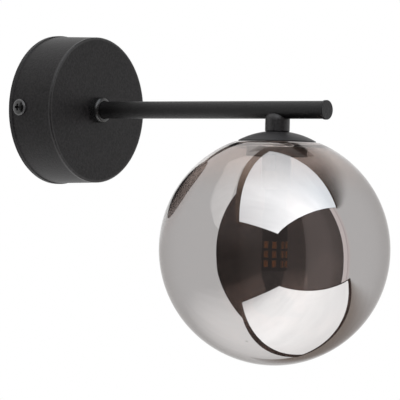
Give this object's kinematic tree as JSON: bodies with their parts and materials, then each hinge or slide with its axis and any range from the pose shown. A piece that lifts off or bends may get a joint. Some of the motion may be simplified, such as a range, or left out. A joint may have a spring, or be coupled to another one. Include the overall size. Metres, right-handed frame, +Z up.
{
  "type": "globe wall sconce",
  "caption": "Wall light: round black canopy on a slotted wall bracket, straight arm, and a smoked mirrored glass globe screwed under a small dome over a pin-base lamp.",
  "frame": {"origin": "middle of the wall bracket, on the wall plane and on the arm's axis", "axes": "+Z up, +Y into the wall, the arm runs along -Y, +X to the right seen from the room"},
  "size_m": [0.15, 0.2629, 0.2163],
  "materials": {
    "black_powder_coat": "fine-textured satin black powder coat",
    "black_satin_metal": "smoother satin black lacquer",
    "black_screw": "blackened polished steel",
    "zinc_steel": "bright zinc plate",
    "brass": "bare brass",
    "tinned_copper": "tinned copper",
    "terminal_plastic": "matt natural polyamide",
    "socket_ceramic": "unglazed steatite ceramic",
    "lamp_base_plastic": "dark moulded plastic",
    "lamp_column_black": "black board",
    "chip_phosphor": "orange phosphor resin",
    "smoked_glass": "smoked mirrored glass",
    "silicone": "grey silicone",
    "wire_brown": "brown insulation",
    "wire_blue": "blue insulation",
    "wire_green_yellow": "green and yellow insulation"
  },
  "bodies": {
    "fixture": {"canopy_cup": "black_powder_coat", "arm_tube": "black_powder_coat", "arm_end_cap": "black_powder_coat", "arm_collar": "black_satin_metal", "stem_saddle": "black_powder_coat", "holder_dome": "black_powder_coat", "globe_holder": "zinc_steel", "socket_bracket": "zinc_steel", "holder_nut": "zinc_steel", "arm_nipple": "zinc_steel", "stem_nipple": "zinc_steel", "lock_washer": "zinc_steel", "arm_lock_nut": "zinc_steel", "wall_bracket": "zinc_steel", "canopy_side_screws": "black_screw", "block_screw": "zinc_steel", "earth_screw": "brass", "earth_washer": "zinc_steel", "earth_tag": "tinned_copper", "terminal_block": "terminal_plastic", "terminal_inserts": "brass", "terminal_screws": "zinc_steel", "socket_screws": "zinc_steel", "lamp_socket": "socket_ceramic", "socket_contacts": "brass", "live_wire": "wire_brown", "neutral_wire": "wire_blue", "earth_wire": "wire_green_yellow"},
    "gasket": {"neck_gasket": "silicone"},
    "globe": {"globe_glass": "smoked_glass", "globe_ring": "zinc_steel"},
    "lamp": {"lamp_base": "lamp_base_plastic", "lamp_pins": "tinned_copper", "lamp_column": "lamp_column_black", "lamp_chips": "chip_phosphor"}
  },
  "joints": [
    {"name": "globe_unscrew", "type": "hinge", "parent": "fixture", "child": "gasket", "pos_m": [0, -0.1879, 0], "axis": [0, 0, -1], "range_deg": [0, 1170]},
    {"name": "globe_lower", "type": "slide", "parent": "gasket", "child": "globe", "axis": [0, 0, -1], "range_m": [0, 0.0082]},
    {"name": "lamp_pull", "type": "slide", "parent": "fixture", "child": "lamp", "axis": [0, 0, -1], "range_m": [0, 0.016]}
  ],
  "couplings": [
    {"joint": "globe_lower", "follows": "globe_unscrew", "m_per_rad": 0.00039789}
  ]
}
